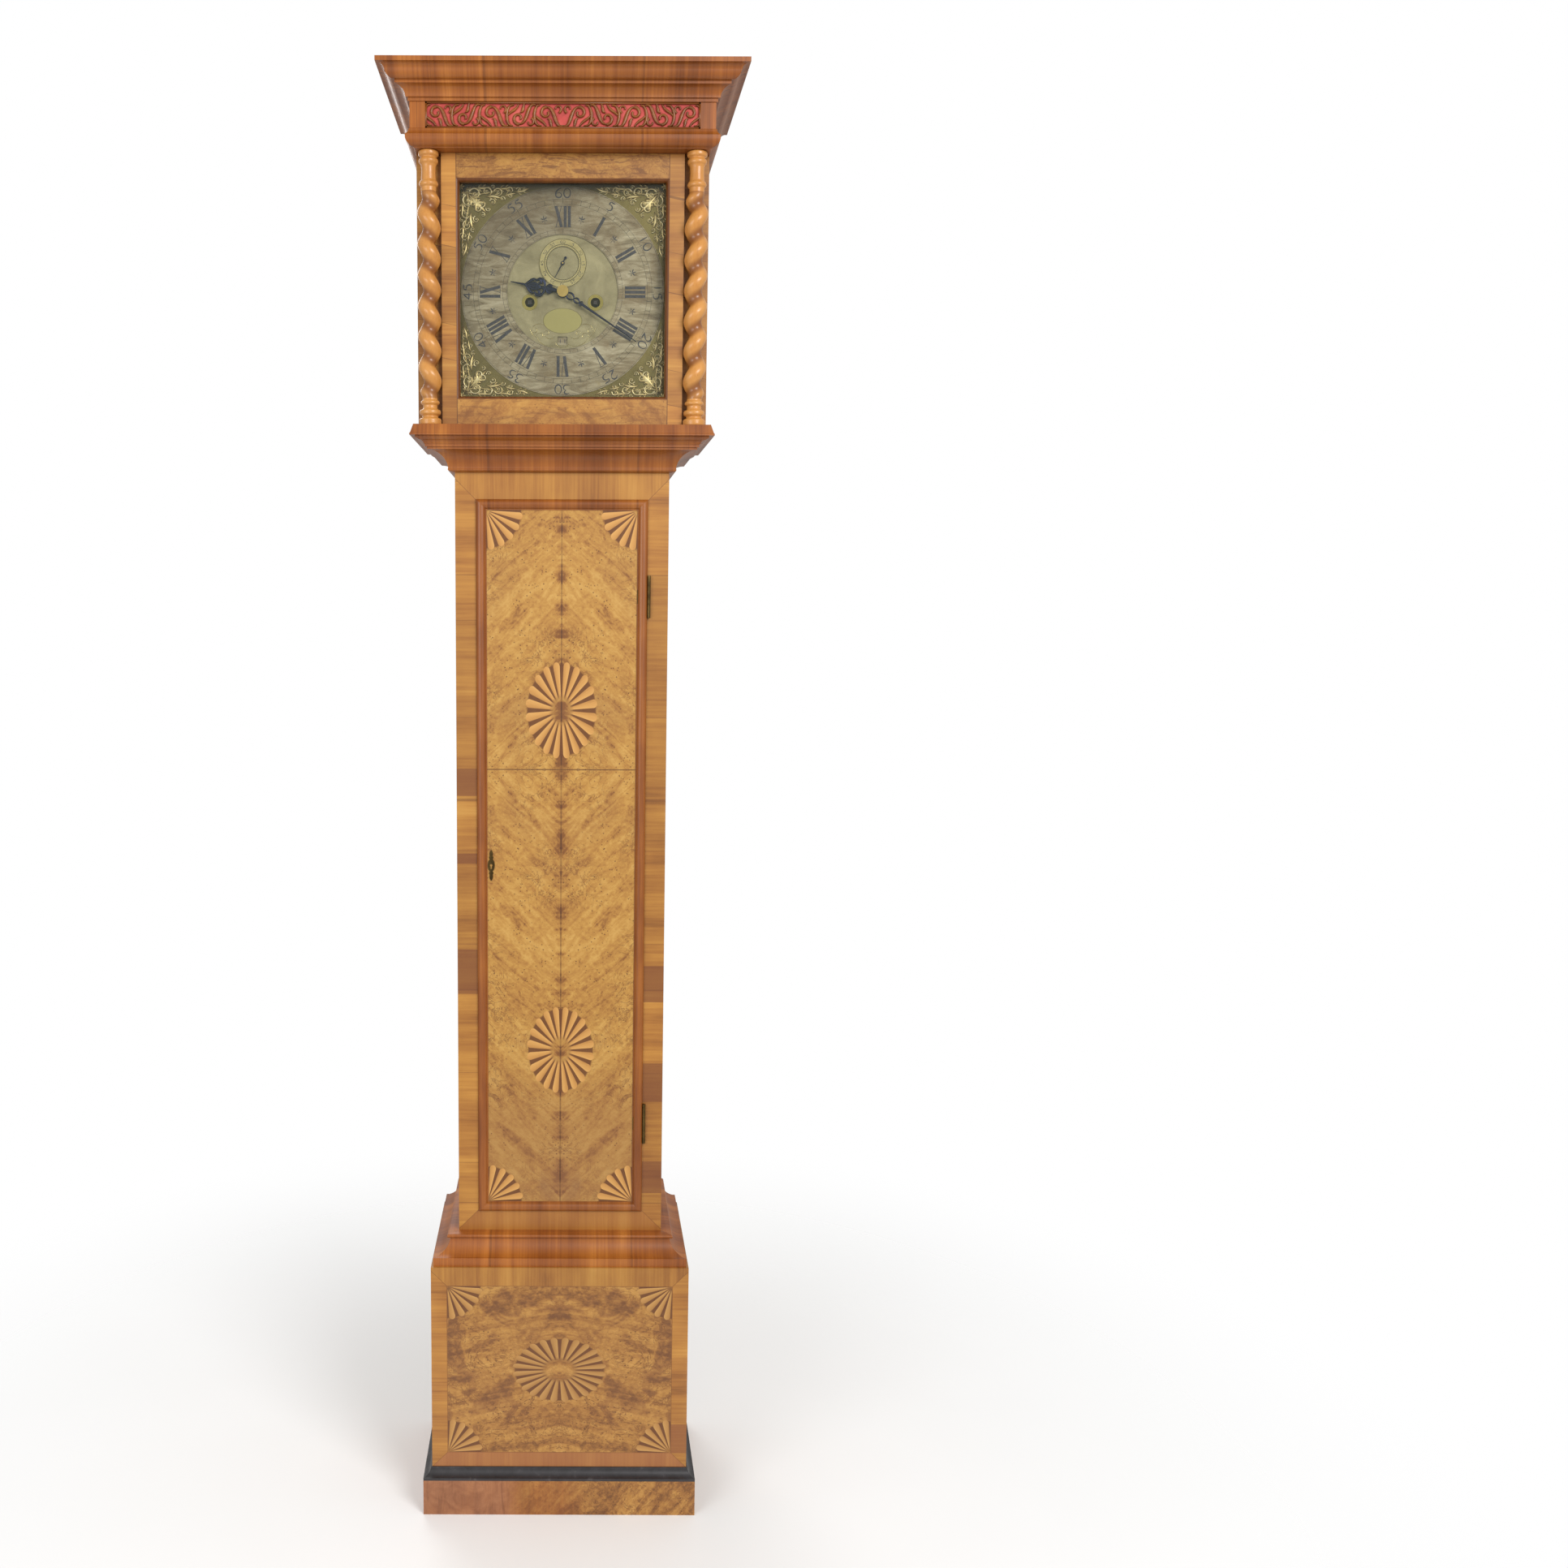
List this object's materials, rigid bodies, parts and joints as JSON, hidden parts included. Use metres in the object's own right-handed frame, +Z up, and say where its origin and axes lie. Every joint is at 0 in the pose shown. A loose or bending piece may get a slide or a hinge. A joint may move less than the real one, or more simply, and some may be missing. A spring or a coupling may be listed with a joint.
{
  "type": "longcase clock",
  "caption": "Tall walnut longcase clock with a flat-topped hood, twist columns, square brass dial, burr veneered trunk door and plinth, and a weight-driven movement.",
  "frame": {"origin": "middle of the bounding box at the floor, under the skirting", "axes": "+Z up, the clock faces -Y, +X to the viewer's right"},
  "size_m": [0.494, 0.3, 2.075],
  "materials": {
    "walnut_veneer": "figured walnut veneer, waxed",
    "burr_walnut": "quarter-matched burr walnut with inlaid fans, waxed",
    "moulding_walnut": "cross-grained red-brown walnut, polished",
    "column_walnut": "pale turned walnut, polished",
    "ebonised_wood": "stained black, satin",
    "oak": "plain oak, dry",
    "silk": "red woven silk",
    "glass": "clear window glass",
    "brass": "polished brass, slightly aged",
    "gilt_brass": "cast and gilded",
    "silvered_brass": "silvered, worn",
    "blued_steel": "blued",
    "steel": "bright steel",
    "iron": "dark iron",
    "bell_metal": "cast bell metal, dull",
    "black_wax": "black wax in engraving",
    "gut": "twisted gut"
  },
  "bodies": {
    "case": {"skirting": "walnut_veneer", "ebonised_moulding": "ebonised_wood", "plinth_front": "burr_walnut", "plinth_sides_and_floor": "walnut_veneer", "base_moulding": "moulding_walnut", "trunk_front_frame": "walnut_veneer", "trunk_sides": "walnut_veneer", "backboard": "oak", "throat_moulding": "moulding_walnut", "seatboard": "oak", "seatboard_bolts": "steel", "trunk_hinge_plates": "brass", "movement_front_plate": "brass", "movement_back_plate": "brass", "back_cock_and_bell_stand": "brass", "bell": "bell_metal", "dial_plate": "brass", "chapter_ring": "silvered_brass", "seconds_ring": "silvered_brass", "spandrels": "gilt_brass"},
    "hood": {"hood_base_moulding": "moulding_walnut", "hood_carcase": "walnut_veneer", "hood_side_windows": "glass", "architrave": "moulding_walnut", "frieze": "walnut_veneer", "frieze_fret": "moulding_walnut", "frieze_silk": "silk", "cornice": "moulding_walnut"},
    "hood_door": {"hood_door_frame": "burr_walnut", "hood_door_glass": "glass", "twist_columns": "column_walnut", "hood_door_pivots": "brass"},
    "trunk_door": {"trunk_door_panel": "burr_walnut", "trunk_door_moulding": "moulding_walnut", "keyhole_escutcheon": "brass", "trunk_door_lock": "iron", "trunk_door_hinge_leaves": "brass"},
    "bolt": {"lock_bolt": "iron"},
    "escape_arbor": {"escape_wheel": "brass", "seconds_hand": "blued_steel"},
    "third_arbor": {"third_wheel": "brass"},
    "centre_arbor": {"centre_wheel": "brass", "minute_hand": "blued_steel"},
    "motion_wheel": {"minute_wheel": "brass"},
    "hour_pipe": {"hour_wheel": "brass", "hour_hand": "blued_steel"},
    "great_wheel": {"going_great_wheel": "brass"},
    "date": {"date_ring": "silvered_brass"},
    "going_drum": {"going_barrel": "brass"},
    "strike_drum": {"strike_barrel": "brass"},
    "pin_arbor": {"pin_wheel": "brass"},
    "hammer_arbor": {"hammer": "steel"},
    "anchor_arbor": {"anchor": "steel"},
    "pendulum": {"pendulum_rod": "steel", "pendulum_bob": "brass"},
    "nut": {"rating_nut": "brass"},
    "going_driving_weight": {"going_weight": "brass", "going_line": "gut"},
    "strike_driving_weight": {"strike_weight": "brass", "strike_line": "gut"}
  },
  "joints": [
    {"name": "hood_slide", "type": "slide", "parent": "case", "child": "hood", "axis": [0, -1, 0], "range_m": [0, 0.28]},
    {"name": "hood_door_hinge", "type": "hinge", "parent": "hood", "child": "hood_door", "pos_m": [0.196, -0.066, 1.79], "axis": [0, 0, 1], "range_deg": [0, 95]},
    {"name": "trunk_door_hinge", "type": "hinge", "parent": "case", "child": "trunk_door", "pos_m": [0.1245, -0.058, 0.983], "axis": [0, 0, 1], "range_deg": [0, 120]},
    {"name": "bolt_slide", "type": "slide", "parent": "trunk_door", "child": "bolt", "axis": [-1, 0, 0], "range_m": [0, 0.008]},
    {"name": "escape_arbor_turn", "type": "hinge", "parent": "case", "child": "escape_arbor", "pos_m": [0, 0, 1.835], "axis": [0, 1, 0], "continuous": true},
    {"name": "third_arbor_turn", "type": "hinge", "parent": "case", "child": "third_arbor", "pos_m": [0.0117, 0, 1.81594], "axis": [0, 1, 0], "continuous": true},
    {"name": "centre_arbor_turn", "type": "hinge", "parent": "case", "child": "centre_arbor", "pos_m": [0, 0, 1.796], "axis": [0, 1, 0], "continuous": true},
    {"name": "motion_wheel_turn", "type": "hinge", "parent": "case", "child": "motion_wheel", "pos_m": [0, 0, 1.7648], "axis": [0, 1, 0], "continuous": true},
    {"name": "hour_pipe_turn", "type": "hinge", "parent": "case", "child": "hour_pipe", "pos_m": [0, 0, 1.796], "axis": [0, 1, 0], "continuous": true},
    {"name": "great_wheel_turn", "type": "hinge", "parent": "case", "child": "great_wheel", "pos_m": [0.04602, 0, 1.782], "axis": [0, 1, 0], "continuous": true},
    {"name": "date_turn", "type": "hinge", "parent": "case", "child": "date", "pos_m": [0, 0, 1.796], "axis": [0, 1, 0], "continuous": true},
    {"name": "going_weight_fall", "type": "slide", "parent": "case", "child": "going_driving_weight", "axis": [0, 0, 1], "range_m": [0, 1.3], "deforming": ["going_line"]},
    {"name": "going_drum_turn", "type": "hinge", "parent": "case", "child": "going_drum", "pos_m": [0.04602, 0, 1.782], "axis": [0, 1, 0], "range_deg": [0, 5900]},
    {"name": "strike_weight_fall", "type": "slide", "parent": "case", "child": "strike_driving_weight", "axis": [0, 0, 1], "range_m": [0, 1.3], "deforming": ["strike_line"]},
    {"name": "strike_drum_turn", "type": "hinge", "parent": "case", "child": "strike_drum", "pos_m": [-0.04602, 0, 1.782], "axis": [0, 1, 0], "range_deg": [0, 5900]},
    {"name": "pin_arbor_turn", "type": "hinge", "parent": "case", "child": "pin_arbor", "pos_m": [-0.04183, 0, 1.82992], "axis": [0, 1, 0], "continuous": true},
    {"name": "hammer_arbor_turn", "type": "hinge", "parent": "case", "child": "hammer_arbor", "pos_m": [-0.055, 0, 1.858], "axis": [0, -1, 0], "range_deg": [0, 15], "stiffness_Nm_per_rad": 0.05, "springref_deg": -8.59},
    {"name": "pendulum_swing", "type": "hinge", "parent": "case", "child": "pendulum", "pos_m": [0, 0.078, 1.86798], "axis": [0, 1, 0], "range_deg": [-2.5, 2.5]},
    {"name": "anchor_rock", "type": "hinge", "parent": "case", "child": "anchor_arbor", "pos_m": [0, 0, 1.86258], "axis": [0, 1, 0], "range_deg": [-2.5, 2.5]},
    {"name": "rating_nut_turn", "type": "hinge", "parent": "pendulum", "child": "nut", "pos_m": [0, 0.078, 0.81], "axis": [0, 0, 1], "continuous": true}
  ],
  "couplings": [
    {"joint": "third_arbor_turn", "follows": "escape_arbor_turn", "ratio": -0.125},
    {"joint": "centre_arbor_turn", "follows": "escape_arbor_turn", "ratio": 0.016667},
    {"joint": "motion_wheel_turn", "follows": "escape_arbor_turn", "ratio": -0.016667},
    {"joint": "hour_pipe_turn", "follows": "escape_arbor_turn", "ratio": 0.0013889},
    {"joint": "great_wheel_turn", "follows": "escape_arbor_turn", "ratio": -0.0013889},
    {"joint": "anchor_rock", "follows": "pendulum_swing", "ratio": 1},
    {"joint": "going_drum_turn", "follows": "going_weight_fall", "rad_per_m": 77.519},
    {"joint": "strike_drum_turn", "follows": "strike_weight_fall", "rad_per_m": 77.519},
    {"joint": "pin_arbor_turn", "follows": "strike_weight_fall", "rad_per_m": -930.23}
  ]
}
